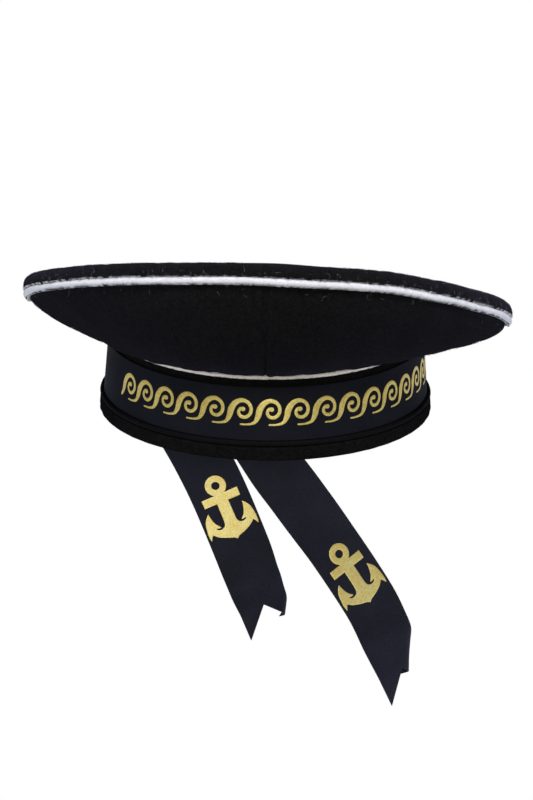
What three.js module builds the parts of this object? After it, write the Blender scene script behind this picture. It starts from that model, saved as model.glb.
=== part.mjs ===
// Sailor cap: a wide flat crown on an upright band, with a ribbon round the band and two hanging tails.
// Millimetres, Z up. The front faces -Y, and the origin is the middle of the head opening, in the plane
// of the band's lower edge. A turn is an angle round the cap, from the front towards +X.
import * as THREE from 'three';

const { clamp, degToRad, lerp, smoothstep } = THREE.MathUtils;

// Shared sizes
const gap = 0.3;               // between neighbouring pieces
const roundSteps = 64;         // facets round the cap
const seamGap = 0.4;           // between the two side panels, at the front and back seams

// Band: an upright oval wall that stands a little further out at its lower edge
const bandHalfWidth = 88.1;    // outside of the top edge, ear to ear
const bandHalfDepth = 99.6;    // outside of the top edge, forehead to nape
const bandHeight = 45.6;
const bandSpread = 3.3;        // how much further out the lower edge stands
const bandWall = 2.5;

// Trim on the band
const hemHeight = 7.8;
const hemWall = 2.3;
const hemRounding = 0.8;
const lowerPipingRadius = 1.4;
const bandPipingRadius = 1.4;
const trimSides = 6;           // facets round the two thin pipings
const ribbonWidth = 30;        // what shows of it between the pipings
const ribbonWall = 1;
const ribbonRows = 4;          // facets up the ribbon

// Crown: a round top, turned down over its rim, above two flaring side panels
const rimRadius = 135.9;       // to the middle of the rim piping
const rimHeight = 58.5;        // middle of the rim piping beside the ears
const crownShift = 0.8;        // the crown sits this far towards +X
const rimPipingRadius = 2.3;
const rimSides = 8;            // facets round the rim piping
const crownWall = 1.8;
const panelWall = 1.6;
const headInset = 1.8;         // a side panel's head lies this far inside the rim piping's middle
const panelSteps = 8;          // facets up a side panel

// The crown's lie from nape to forehead: its slope and its sideways roll, in degrees
const crownFold = [
  { along: -145, tilt: 19, roll: 0 },
  { along: -92, tilt: 6, roll: 0.8 },
  { along: -35, tilt: 6, roll: 2 },
  { along: 5, tilt: 21.3, roll: 2.8 },
  { along: 145, tilt: 21.3, roll: 2.8 },
];

// The top's section from its turned-down edge to its middle, from the middle of the rim piping
const topSection = [
  { out: 1.9, rise: 2.6 },
  { out: 2.3, rise: 4.8 },
  { out: 1.7, rise: 7.3 },
  { out: 0.1, rise: 9.2 },
  { out: -2.4, rise: 10.1 },
  { out: -7, rise: 10.4 },
  { out: -25, rise: 10.6 },
  { out: -60, rise: 10.9 },
  { out: -100, rise: 11.1 },
  { out: -rimRadius, rise: 11.2 },
];

// The cloth's sag round the cap, by turn in degrees: how far a side panel's foot runs outwards and upwards,
// how far its head drops straight down from the rim and spreads, and how far the rim itself droops
const sagTable = [
  { turn: -180, flare: 12, lift: -3, drop: 5, spread: 1, droop: 2 },
  { turn: -150, flare: 13, lift: -3, drop: 5, spread: 1, droop: 3.5 },
  { turn: -120, flare: 15, lift: -6, drop: 5, spread: 1, droop: 2.5 },
  { turn: -90, flare: 18, lift: -11, drop: 5.5, spread: -0.5, droop: 1.2 },
  { turn: -60, flare: 14.5, lift: -6, drop: 7.5, spread: 0.5, droop: 1.3 },
  { turn: -45, flare: 14, lift: -9.5, drop: 9, spread: 0.5, droop: 0.8 },
  { turn: -30, flare: 13.5, lift: -5.5, drop: 12, spread: 1, droop: 0.2 },
  { turn: 0, flare: 12.5, lift: -6.5, drop: 14, spread: 1, droop: -1.4 },
  { turn: 30, flare: 12.5, lift: -4, drop: 13.5, spread: 1, droop: -2.7 },
  { turn: 45, flare: 16, lift: -7, drop: 13.5, spread: 1, droop: -1.3 },
  { turn: 60, flare: 19, lift: -7.5, drop: 15.5, spread: 1.5, droop: 0.1 },
  { turn: 90, flare: 23, lift: -15.5, drop: 8.5, spread: -2.5, droop: 1 },
  { turn: 120, flare: 19, lift: -9, drop: 7, spread: 1, droop: 4.5 },
  { turn: 150, flare: 14, lift: -4, drop: 6, spread: 1, droop: 7 },
  { turn: 180, flare: 12, lift: -3, drop: 5, spread: 1, droop: 2 },
];
const droopStart = 96;         // the droop begins this far from the crown's middle

// Tails: each ribbon end is folded on a slant at the back and hangs down. A route gives the middle line
// from the fold to the notch of the swallowtail: the place along the back, the height, how far it hangs
// behind the band, and its twist in degrees. The +X corner of its end is rolled back on a cylinder: where
// the roll starts, from the notch, its radius, and its direction from the tail's length, in degrees. The two
// cuts are how far the end's points reach past the notch.
const tailWidth = 33.5;        // the ribbon's whole width, out from under the pipings
const widening = 60;           // it comes out from under them within this length
const tailShares = [-0.5, -0.25, 0, 0.1, 0.2, 0.3, 0.4, 0.5];
const tailSteps = 22;          // facets along a tail, down to its end part
const endSteps = 10;           // facets along the end part
const endLength = 38;
const foldDrop = 14;           // a tail steps out over the hem within this height
const hangDepth = 55;          // below the hem, a tail flattens out within this depth
const leftTail = {
  layer: 0,
  foldSlope: -33,
  route: [
    { along: -77, height: 27, back: 0, twist: 0 },
    { along: -61.5, height: -20, back: 0, twist: 0 },
    { along: -37.2, height: -66, back: 2, twist: 1 },
    { along: -25.5, height: -91, back: 4, twist: 5 },
    { along: -13.2, height: -121, back: 4, twist: 10 },
    { along: -4.8, height: -143, back: 3, twist: 24 },
    { along: 0.6, height: -156, back: 2, twist: 34 },
  ],
  rollStart: 12.7,
  rollRadius: 5,
  rollAngle: 56,
  leftCut: 15,
  rightCut: 18.5,
};
const rightTail = {
  layer: 1,
  foldSlope: 62,
  route: [
    { along: -42, height: 27, back: 0, twist: 0 },
    { along: -23, height: -22, back: 1.5, twist: 0 },
    { along: 2.3, height: -66, back: 3.5, twist: 2 },
    { along: 20, height: -91, back: 4, twist: 12 },
    { along: 42, height: -122, back: 5, twist: 25 },
    { along: 62.8, height: -154, back: 4, twist: 25 },
    { along: 73.8, height: -176, back: 2, twist: 26 },
    { along: 82.8, height: -195, back: 1, twist: 34 },
  ],
  rollStart: 2.2,
  rollRadius: 4.6,
  rollAngle: 60,
  leftCut: 15.8,
  rightCut: 16.5,
};

// Heights that follow from the sizes above
const lowerPipingHeight = hemHeight + gap + lowerPipingRadius;
const ribbonLow = lowerPipingHeight + lowerPipingRadius + gap;
const ribbonHigh = ribbonLow + ribbonWidth;
const bandPipingHeight = bandHeight + gap + bandPipingRadius;
const panelFoot = bandPipingHeight + bandPipingRadius + 2 * gap;

// A turn in degrees, between -180 and 180
function wrapDegrees(turn) {
  return THREE.MathUtils.euclideanModulo((turn * 180) / Math.PI + 180, 360) - 180;
}

// A table's column at a given place, eased from row to row
function readTable(table, key, at, column) {
  const last = table.length - 2;
  const found = table.findIndex((row, index) => index > last || at < table[index + 1][key]);
  const low = table[Math.min(found, last)];
  const high = table[Math.min(found, last) + 1];
  return lerp(low[column], high[column], smoothstep(at, low[key], high[key]));
}

// Evenly spaced values from one end to the other
function spaced(low, high, steps) {
  return Array.from({ length: steps + 1 }, (_, step) => lerp(low, high, step / steps));
}

// A point beside the band: the oval at a turn, moved out along its normal
function besideBand(turn, height, out) {
  const spread = bandSpread * (1 - clamp(height / bandHeight, 0, 1));
  const normal = new THREE.Vector2(Math.sin(turn) / bandHalfWidth, -Math.cos(turn) / bandHalfDepth);
  normal.setLength(out + spread);
  const x = bandHalfWidth * Math.sin(turn) + normal.x;
  const y = -bandHalfDepth * Math.cos(turn) + normal.y;
  return new THREE.Vector3(x, y, height);
}

// Turn of a place measured along the band from the middle of its back, towards +X
function turnAtBack(along) {
  return Math.PI - along / bandHalfWidth;
}

// A point of the bent crown: a flat place (x, along) is carried along the fold line and raised off it
function onCrown(x, along, rise) {
  const steps = 48;
  let y = 0;
  let z = rimHeight;
  for (let step = 0; step < steps; step += 1) {
    const slope = degToRad(readTable(crownFold, 'along', (along * (step + 0.5)) / steps, 'tilt'));
    y -= (Math.cos(slope) * along) / steps;
    z += (Math.sin(slope) * along) / steps;
  }
  const slope = degToRad(readTable(crownFold, 'along', along, 'tilt'));
  const roll = degToRad(readTable(crownFold, 'along', along, 'roll'));
  const rolled = z + rise * Math.cos(slope) - x * Math.tan(roll);
  return new THREE.Vector3(x + crownShift, y + rise * Math.sin(slope), rolled);
}

// A point near the crown's rim, given by its turn, its radius and its rise above the rim piping
function atRim(turn, radius, rise) {
  const droop = readTable(sagTable, 'turn', wrapDegrees(turn), 'droop');
  const sunk = rise - droop * smoothstep(radius, droopStart, rimRadius);
  return onCrown(radius * Math.sin(turn), radius * Math.cos(turn), sunk);
}

// A closed mesh from four-cornered faces: equal corners are shared and collapsed faces are left out
function facesToGeometry(faces) {
  const positions = [];
  const known = new Map();
  const cornerIndex = (point) => {
    const key = point.toArray().map((value) => value.toFixed(3)).join(' ');
    if (!known.has(key)) {
      known.set(key, known.size);
      positions.push(point.x, point.y, point.z);
    }
    return known.get(key);
  };
  const triangles = [];
  const addTriangle = (...corners) => {
    if (new Set(corners).size === 3) {
      triangles.push(...corners);
    }
  };
  for (const face of faces) {
    const [first, second, third, fourth] = face.map(cornerIndex);
    addTriangle(first, second, third);
    addTriangle(first, third, fourth);
  }
  const geometry = new THREE.BufferGeometry();
  geometry.setAttribute('position', new THREE.Float32BufferAttribute(positions, 3));
  geometry.setIndex(triangles);
  geometry.computeVertexNormals();
  return geometry;
}

// A body swept through closed sections of equal point count. An open sweep is capped at both ends by
// pairing a section's outer half with its inner half.
function sweep(sections, isRing) {
  const faces = [];
  const count = sections[0].length;
  const bays = isRing ? sections.length : sections.length - 1;
  for (let bay = 0; bay < bays; bay += 1) {
    const near = sections[bay];
    const far = sections[(bay + 1) % sections.length];
    for (let point = 0; point < count; point += 1) {
      const next = (point + 1) % count;
      faces.push([near[point], far[point], far[next], near[next]]);
    }
  }
  if (!isRing) {
    const start = sections[0];
    const end = sections[sections.length - 1];
    for (let point = 0; point < count / 2 - 1; point += 1) {
      const pair = count - 1 - point;
      faces.push([start[point], start[point + 1], start[pair - 1], start[pair]]);
      faces.push([end[pair], end[pair - 1], end[point + 1], end[point]]);
    }
  }
  return facesToGeometry(faces);
}

// A ring whose section at each turn is a closed loop of points
function ring(sectionAt) {
  const turns = spaced(0, 2 * Math.PI, roundSteps).slice(0, roundSteps);
  return sweep(turns.map(sectionAt), true);
}

// A round section's points, as distances out and up from its middle
function circlePoints(radius, sides) {
  return Array.from({ length: sides }, (_, side) => {
    const angle = (2 * Math.PI * (side + 0.5)) / sides - Math.PI / 2;
    return { out: radius * Math.cos(angle), up: radius * Math.sin(angle) };
  });
}

// Band: a plain wall between its outer and inner faces
function makeBand() {
  return ring((turn) => [
    besideBand(turn, 0, 0),
    besideBand(turn, bandHeight, 0),
    besideBand(turn, bandHeight, -bandWall),
    besideBand(turn, 0, -bandWall),
  ]);
}

// Hem: a strip of cloth round the band's lower edge, with rounded outer corners
function makeHem() {
  const outside = gap + hemWall;
  return ring((turn) => [
    besideBand(turn, 0, outside - hemRounding),
    besideBand(turn, hemRounding, outside),
    besideBand(turn, hemHeight - hemRounding, outside),
    besideBand(turn, hemHeight, outside - hemRounding),
    besideBand(turn, hemHeight, gap),
    besideBand(turn, 0, gap),
  ]);
}

// A thin piping round the band at a given height and distance out
function makeBandPiping(height, out, radius) {
  const points = circlePoints(radius, trimSides);
  return ring((turn) => points.map((point) => besideBand(turn, height + point.up, out + point.out)));
}

// Rim piping: a cord between the crown's top and its side panels
function makeRimPiping() {
  const points = circlePoints(rimPipingRadius, rimSides);
  return ring((turn) => points.map((point) => atRim(turn, rimRadius + point.out, point.up)));
}

// Crown top: a disc turned down over the rim and hollow underneath. Its underside is the section set in
// by the wall along its normal.
function makeCrownTop() {
  const last = topSection.length - 1;
  const underside = topSection.map((row, index) => {
    const before = topSection[Math.max(index - 1, 0)];
    const after = topSection[Math.min(index + 1, last)];
    const normal = new THREE.Vector2(after.rise - before.rise, before.out - after.out).setLength(crownWall);
    return { out: Math.max(row.out - normal.x, -rimRadius), rise: row.rise - normal.y };
  });
  const loop = [...topSection, ...underside.reverse()];
  return ring((turn) => loop.map((row) => atRim(turn, rimRadius + row.out, row.rise)));
}

// A side panel's outer face: a curve from the foot on the band piping up to the rim piping
function onPanel(turn, part) {
  const sag = (column) => readTable(sagTable, 'turn', wrapDegrees(turn), column);
  const head = -Math.sqrt((rimPipingRadius + gap) ** 2 - headInset ** 2);
  const headRadius = rimRadius - headInset;
  const foot = besideBand(turn, panelFoot, 0);
  const outwards = besideBand(turn, panelFoot, 1).sub(foot);
  const footPull = foot.clone().addScaledVector(outwards, sag('flare'));
  footPull.z += sag('lift');
  const headPull = atRim(turn, headRadius + sag('spread'), head - sag('drop'));
  const curve = new THREE.CubicBezierCurve3(foot, footPull, headPull, atRim(turn, headRadius, head));
  return curve.getPoint(part);
}

// The panel's inner face: the outer one set in by the wall along its normal
function insidePanel(turn, part) {
  const reach = 0.01;
  const across = onPanel(turn + reach, part).sub(onPanel(turn - reach, part));
  const upwards = onPanel(turn, Math.min(part + reach, 1)).sub(onPanel(turn, Math.max(part - reach, 0)));
  const normal = across.cross(upwards).normalize();
  return onPanel(turn, part).addScaledVector(normal, -panelWall);
}

// Side panel: half of the flaring wall under the rim, from one seam to the other
function makeSidePanel(fromTurn) {
  const inset = seamGap / 2 / bandHalfDepth;
  const parts = spaced(0, 1, panelSteps);
  const sections = spaced(fromTurn + inset, fromTurn + Math.PI - inset, roundSteps / 2).map((turn) => {
    const outer = parts.map((part) => onPanel(turn, part));
    const inner = parts.map((part) => insidePanel(turn, part));
    return [...outer, ...inner.reverse()];
  });
  return sweep(sections, false);
}

// Place along the back where a tail's fold crosses the ribbon at a given height
function foldAt(tail, height) {
  const root = tail.route[0];
  return root.along + (height - root.height) / Math.tan(degToRad(tail.foldSlope));
}

// Ribbon: a strip round the band from one slanted fold to the other
function makeRibbon() {
  const heights = spaced(ribbonLow, ribbonHigh, ribbonRows);
  const sections = spaced(0, 1, roundSteps).map((share) => {
    const place = (height, out) => {
      const start = turnAtBack(foldAt(leftTail, height)) - 2 * Math.PI;
      const end = turnAtBack(foldAt(rightTail, height));
      return besideBand(lerp(start, end, share), height, out);
    };
    const outer = heights.map((height) => place(height, gap + ribbonWall));
    const inner = heights.map((height) => place(height, gap));
    return [...outer, ...inner.reverse()];
  });
  return sweep(sections, false);
}

// A tail's point: the flat strip has its corner rolled back, is laid along its route, twisted, wrapped round
// the band above the hem, and raised off its inner face
function onTail(tail, curve, distance, width, raise) {
  const whole = curve.getLength();
  const lengthwise = Math.cos(degToRad(tail.rollAngle));
  const crosswise = Math.sin(degToRad(tail.rollAngle));
  const past = Math.max((distance - whole) * lengthwise + width * crosswise - tail.rollStart, 0);
  const bend = past / tail.rollRadius;
  const shift = (tail.rollRadius - raise) * Math.sin(bend) - past;
  const rolled = tail.rollRadius * (1 - Math.cos(bend)) + raise * Math.cos(bend);
  const laid = distance + shift * lengthwise;
  const side = width + shift * crosswise;
  const part = clamp(laid / whole, 0, 1);
  const heading = curve.getTangentAt(part);
  const middle = curve.getPointAt(part).addScaledVector(heading, laid - part * whole);
  const row = (column) => readTable(tail.rows, 'distance', distance, column);
  const twist = degToRad(row('twist'));
  const across = side * Math.cos(twist) - rolled * Math.sin(twist);
  const depth = side * Math.sin(twist) + rolled * Math.cos(twist);
  const along = middle.x - heading.y * across;
  const height = middle.y + heading.x * across;
  const overHem = smoothstep(ribbonLow + foldDrop - height, 0, foldDrop);
  const layerOut = gap + tail.layer * (ribbonWall + 2 * gap);
  const out = layerOut + lerp(gap + ribbonWall, gap + 2 * lowerPipingRadius, overHem) + depth;
  const wrapped = besideBand(turnAtBack(along), height, out);
  const hung = new THREE.Vector3(along, bandHalfDepth + bandSpread + out + row('back'), height);
  return wrapped.lerp(hung, smoothstep(-height, 0, hangDepth));
}

// Tail: a strip from its slanted fold to its swallowtail end
function makeTail(tail) {
  const curve = new THREE.SplineCurve(tail.route.map((row) => new THREE.Vector2(row.along, row.height)));
  const places = curve.points;
  let distance = 0;
  const rows = tail.route.map((row, index) => {
    distance += index > 0 ? places[index].distanceTo(places[index - 1]) : 0;
    return { ...row, distance };
  });
  const laid = { ...tail, rows };
  const heading = curve.getTangentAt(0);
  const slant = Math.atan2(heading.y, heading.x) - degToRad(tail.foldSlope);
  const sections = tailShares.map((share) => {
    const start = (share * ribbonWidth) / Math.tan(-slant);
    const cut = share < 0 ? tail.leftCut : tail.rightCut;
    const end = curve.getLength() + cut * Math.abs(share) * 2;
    const plain = spaced(start, end - endLength, tailSteps).slice(0, tailSteps);
    const distances = [...plain, ...spaced(end - endLength, end, endSteps)];
    const width = (at) => share * lerp(ribbonWidth, tailWidth, smoothstep(at, 0, widening));
    const outer = distances.map((at) => onTail(laid, curve, at, width(at), ribbonWall));
    const inner = distances.map((at) => onTail(laid, curve, at, width(at), 0));
    return [...outer, ...inner.reverse()];
  });
  return sweep(sections, false);
}

// Materials
const material = (color, roughness) => new THREE.MeshStandardMaterial({ color, roughness, metalness: 0 });
const blackWool = material('#0e0e11', 0.95);
const blackCord = material('#0b0b0d', 0.9);
const whiteCord = material('#e8e6e6', 0.85);
const ribbonSatin = material('#191b25', 0.5);

// Assembly
const pieces = [
  { name: 'crown_top', geometry: makeCrownTop(), finish: blackWool },
  { name: 'side_panel_left', geometry: makeSidePanel(-Math.PI), finish: blackWool },
  { name: 'side_panel_right', geometry: makeSidePanel(0), finish: blackWool },
  { name: 'rim_piping', geometry: makeRimPiping(), finish: whiteCord },
  { name: 'band', geometry: makeBand(), finish: blackWool },
  { name: 'band_hem', geometry: makeHem(), finish: blackWool },
  {
    name: 'band_piping',
    geometry: makeBandPiping(bandPipingHeight, 0, bandPipingRadius),
    finish: whiteCord,
  },
  {
    name: 'lower_piping',
    geometry: makeBandPiping(lowerPipingHeight, gap + lowerPipingRadius, lowerPipingRadius),
    finish: blackCord,
  },
  { name: 'tally_ribbon', geometry: makeRibbon(), finish: ribbonSatin },
  { name: 'tail_left', geometry: makeTail(leftTail), finish: ribbonSatin },
  { name: 'tail_right', geometry: makeTail(rightTail), finish: ribbonSatin },
];
const cap = new THREE.Group();
for (const piece of pieces) {
  const mesh = new THREE.Mesh(piece.geometry, piece.finish);
  mesh.name = piece.name;
  cap.add(mesh);
}

export default cap;
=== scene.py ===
import bpy
import numpy as np
from mathutils import Matrix, Vector


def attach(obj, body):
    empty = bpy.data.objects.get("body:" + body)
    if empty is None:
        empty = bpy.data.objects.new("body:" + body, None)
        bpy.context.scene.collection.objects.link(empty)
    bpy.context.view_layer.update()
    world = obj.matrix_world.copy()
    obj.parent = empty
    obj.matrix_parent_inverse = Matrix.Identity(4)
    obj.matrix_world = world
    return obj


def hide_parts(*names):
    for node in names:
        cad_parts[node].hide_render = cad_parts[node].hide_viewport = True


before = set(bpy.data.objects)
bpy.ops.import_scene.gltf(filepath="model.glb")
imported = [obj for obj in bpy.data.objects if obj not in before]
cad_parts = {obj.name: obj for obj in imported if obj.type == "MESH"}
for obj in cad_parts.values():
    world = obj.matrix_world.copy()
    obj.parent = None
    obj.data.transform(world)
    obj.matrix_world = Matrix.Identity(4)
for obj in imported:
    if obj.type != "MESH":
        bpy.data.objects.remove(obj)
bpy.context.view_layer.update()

# Sailor cap. Sizes are millimetres until makePiece turns them into metres.
# A turn is an angle round the cap, from the front (-Y) towards +X.
rng = np.random.default_rng(7)

bandForm = {"halfWidth": 88.1, "halfDepth": 99.6, "height": 45.6, "spread": 3.3, "wall": 2.5, "gap": 0.3}
crownForm = {
    "rimRadius": 135.9, "rimHeight": 58.5, "shift": 0.8, "droopStart": 96, "wall": 1.8, "foldReach": 190,
    "foldSteps": 1521,
}

# place from nape to forehead, slope and sideways roll in degrees
crownFold = np.array([
    (-145, 19, 0), (-92, 6, 0.8), (-35, 6, 2), (5, 21.3, 2.8), (145, 21.3, 2.8),
])

# turn in degrees, then the panel's flare and lift at its foot, its drop and spread at its head,
# and the rim's droop
sagTable = np.array([
    (-180, 12, -3, 5, 1, 2), (-150, 13, -3, 5, 1, 3.5), (-120, 15, -6, 5, 1, 2.5),
    (-90, 18, -11, 5.5, -0.5, 1.2), (-60, 14.5, -6, 7.5, 0.5, 1.3), (-45, 14, -9.5, 9, 0.5, 0.8),
    (-30, 13.5, -5.5, 12, 1, 0.2), (0, 12.5, -6.5, 14, 1, -1.4), (30, 12.5, -4, 13.5, 1, -2.7),
    (45, 16, -7, 13.5, 1, -1.3), (60, 19, -7.5, 15.5, 1.5, 0.1), (90, 23, -15.5, 8.5, -2.5, 1),
    (120, 19, -9, 7, 1, 4.5), (150, 14, -4, 6, 1, 7), (180, 12, -3, 5, 1, 2),
])
sagColumns = {"flare": 1, "lift": 2, "drop": 3, "spread": 4, "droop": 5}


def smoothstep(value, low, high):
    # three squares less two cubes of the share of the way from low to high
    share = np.clip((value - low) / (high - low), 0, 1)
    return share * share * (3 - 2 * share)


def readTable(table, at, column):
    # a table's column at a place, eased from row to row and held at both ends
    low = np.clip(np.searchsorted(table[:, 0], at, side="right") - 1, 0, len(table) - 2)
    share = smoothstep(at, table[low, 0], table[low + 1, 0])
    return table[low, column] + (table[low + 1, column] - table[low, column]) * share


def stack(*parts):
    # coordinates of equal or spreadable shape, joined along a last axis
    return np.stack(np.broadcast_arrays(*parts), axis=-1).astype(float)


def unit(vectors):
    # each vector divided by its length
    return vectors / np.maximum(np.linalg.norm(vectors, axis=-1, keepdims=True), 1e-9)


def runningLength(path):
    # the summed lengths of a path's steps, from zero at its start
    steps = np.linalg.norm(np.diff(path, axis=0), axis=-1)
    return np.concatenate([np.zeros((1, *steps.shape[1:])), np.cumsum(steps, axis=0)])


def allTurns(count):
    # equal turns once round, as a column
    return np.linspace(0, 2 * np.pi, count, endpoint=False)[:, None]


def bell(value):
    # one at zero and falling off to both sides: e to the power of minus the square
    return np.exp(-(value**2))


def besideBand(turn, height, out):
    # the oval at a turn, moved out along its normal by the distance out and the wall's lean at that height
    halfWidth, halfDepth = bandForm["halfWidth"], bandForm["halfDepth"]
    lean = bandForm["spread"] * (1 - np.clip(height / bandForm["height"], 0, 1))
    side = np.sin(turn) / halfWidth
    front = -np.cos(turn) / halfDepth
    reach = (out + lean) / np.hypot(side, front)
    return stack(halfWidth * np.sin(turn) + side * reach, -halfDepth * np.cos(turn) + front * reach, height)


foldPlaces = np.linspace(-crownForm["foldReach"], crownForm["foldReach"], crownForm["foldSteps"])
foldSlopes = np.radians(readTable(crownFold, foldPlaces, 1))
foldStep = foldPlaces[1] - foldPlaces[0]


def runningSum(slopes):
    # the trapezoid sum along the fold line, counted from its middle
    total = np.concatenate([[0], np.cumsum((slopes[1:] + slopes[:-1]) / 2) * foldStep])
    return total - np.interp(0, foldPlaces, total)


foldRun = runningSum(np.cos(foldSlopes))
foldClimb = runningSum(np.sin(foldSlopes))


def onCrown(x, along, rise):
    # a flat place is carried along the bent fold line, raised off it, and rolled towards +X
    slope = np.interp(along, foldPlaces, foldSlopes)
    roll = np.radians(readTable(crownFold, along, 2))
    y = -np.interp(along, foldPlaces, foldRun) + rise * np.sin(slope)
    z = crownForm["rimHeight"] + np.interp(along, foldPlaces, foldClimb) + rise * np.cos(slope)
    return stack(x + crownForm["shift"], y, z - x * np.tan(roll))


def sagAt(turn, column):
    # the sag table at a turn in radians
    degrees = np.mod(np.degrees(turn) + 180, 360) - 180
    return readTable(sagTable, degrees, sagColumns[column])


def atRim(turn, radius, rise):
    # a place near the rim by its turn, radius and rise above the rim piping's middle, less the rim's droop
    sunk = rise - sagAt(turn, "droop") * smoothstep(radius, crownForm["droopStart"], crownForm["rimRadius"])
    return onCrown(radius * np.sin(turn), radius * np.cos(turn), sunk)


def splineRows(rows, at):
    # a uniform Catmull-Rom curve through the rows, with the end rows repeated
    rows = np.asarray(rows, float)
    low = np.clip(np.floor(at).astype(int), 0, len(rows) - 2)
    share = (at - low)[..., None]
    before = rows[np.clip(low - 1, 0, None)]
    start = rows[low]
    end = rows[low + 1]
    after = rows[np.clip(low + 2, None, len(rows) - 1)]
    bend = 2 * before - 5 * start + 4 * end - after
    twist = 3 * start - before - 3 * end + after
    return start + 0.5 * share * (end - before + share * (bend + share * twist))


bumps = {"sines": 5, "lengths": (0.7, 1.5), "counts": (0.6, 1.5), "evening": 3}


def waves(first, second, size, seed):
    # soft bumps: a few sines of two coordinates at seeded angles, phases and nearby wavelengths
    draw = np.random.default_rng(seed)
    total = 0
    for _ in range(bumps["sines"]):
        angle = draw.uniform(0, np.pi)
        length = size * draw.uniform(*bumps["lengths"])
        phase = draw.uniform(0, 2 * np.pi)
        total = total + np.sin((first * np.cos(angle) + second * np.sin(angle)) * 2 * np.pi / length + phase)
    return total / bumps["evening"]


def roundWaves(turn, count, seed):
    # soft bumps that close round the cap: a few sines with whole numbers of waves
    draw = np.random.default_rng(seed)
    total = 0
    for _ in range(bumps["sines"]):
        whole = int(count * draw.uniform(*bumps["counts"]))
        total = total + np.sin(turn * whole + draw.uniform(0, 2 * np.pi))
    return total / bumps["evening"]


def gridQuads(rows, columns, closeRows=False, closeColumns=False):
    # the four corners of each cell of a grid whose vertices run row by row
    row, column = np.meshgrid(
        np.arange(rows if closeRows else rows - 1),
        np.arange(columns if closeColumns else columns - 1),
        indexing="ij",
    )
    nextRow = (row + 1) % rows
    nextColumn = (column + 1) % columns
    corners = [row * columns + column, row * columns + nextColumn]
    corners += [nextRow * columns + nextColumn, nextRow * columns + column]
    return np.stack(corners, -1).reshape(-1, 4)


sharpAngle = 40  # degrees; edges that turn more than this aren't smoothed


def makePiece(name, points, quads, triangles=None, uv=None, turnOver=True):
    # points become metres; a closed mesh whose volume comes out negative has its faces turned over
    corners = np.asarray(points, float).reshape(-1, 3) / 1000
    triangles = np.zeros((0, 3), int) if triangles is None else triangles
    halves = np.concatenate([quads[:, [0, 1, 2]], quads[:, [0, 2, 3]], triangles])
    first, second, third = (corners[halves[:, side]] - corners.mean(0) for side in range(3))
    if turnOver and np.einsum("ij,ij", first, np.cross(second, third)) < 0:
        quads = quads[:, ::-1]
        triangles = triangles[:, ::-1]
    mesh = bpy.data.meshes.new(name)
    mesh.from_pydata(corners.tolist(), [], quads.tolist() + triangles.tolist())
    if uv is not None:
        used = np.zeros(len(mesh.loops), np.int32)
        mesh.loops.foreach_get("vertex_index", used)
        laid = mesh.uv_layers.new(name="laid")
        laid.data.foreach_set("uv", np.asarray(uv, np.float32).reshape(-1, 2)[used].ravel())
    mesh.shade_smooth()
    mesh.set_sharp_from_angle(angle=np.radians(sharpAngle))
    mesh.update()
    piece = bpy.data.objects.new(name, mesh)
    bpy.context.scene.collection.objects.link(piece)
    return piece


def dress(piece, material, slot, node=None):
    # the piece gets its material and its body, and the solid that it stands for is hidden
    piece.data.materials.append(material)
    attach(piece, "root")
    if node:
        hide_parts(node)
    return piece


def makeRing(name, loop):
    # a closed loop of points carried round the cap: turns along the first axis, the loop along the second
    rows, columns = loop.shape[:2]
    return makePiece(name, loop, gridQuads(rows, columns, True, True))


def makeWall(name, outer, inner, uv=None):
    # an outer and an inner face of equal grids, closed by their four edges
    rows, columns = outer.shape[:2]
    loop = np.concatenate([outer, inner[:, ::-1]], axis=1)
    quads = gridQuads(rows, 2 * columns, False, True)
    near = np.arange(columns - 1)
    far = 2 * columns - 1 - near
    startCap = np.stack([near, far, far - 1, near + 1], -1)
    endCap = startCap[:, ::-1] + (rows - 1) * 2 * columns
    if uv is not None:
        uv = np.concatenate([uv, uv[:, ::-1]], axis=1)
    return makePiece(name, loop, np.concatenate([quads, startCap, endCap]), uv=uv)


def surfaceNormals(points):
    # unit normals of a grid surface from the slopes along both of its axes
    return unit(np.cross(np.gradient(points, axis=0), np.gradient(points, axis=1)))


# Materials

def toLinear(hexColour):
    # sRGB hex to linear light
    parts = np.array([int(hexColour[at:at + 2], 16) for at in (1, 3, 5)]) / 255
    linear = np.where(parts <= 0.04045, parts / 12.92, ((parts + 0.055) / 1.055) ** 2.4)
    return (*linear.tolist(), 1.0)


def addNode(tree, kind, inputs=None, **settings):
    # one node with its settings, its input values and its links; a link is a node's output socket
    node = tree.nodes.new(kind)
    for key, value in settings.items():
        setattr(node, key, value)
    for key, value in (inputs or {}).items():
        if isinstance(value, bpy.types.NodeSocket):
            tree.links.new(value, node.inputs[key])
        else:
            node.inputs[key].default_value = value
    return node


def newMaterial(name):
    # an empty material and its node tree
    material = bpy.data.materials.new(name)
    material.use_nodes = True
    material.node_tree.nodes.clear()
    return material, material.node_tree


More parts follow.
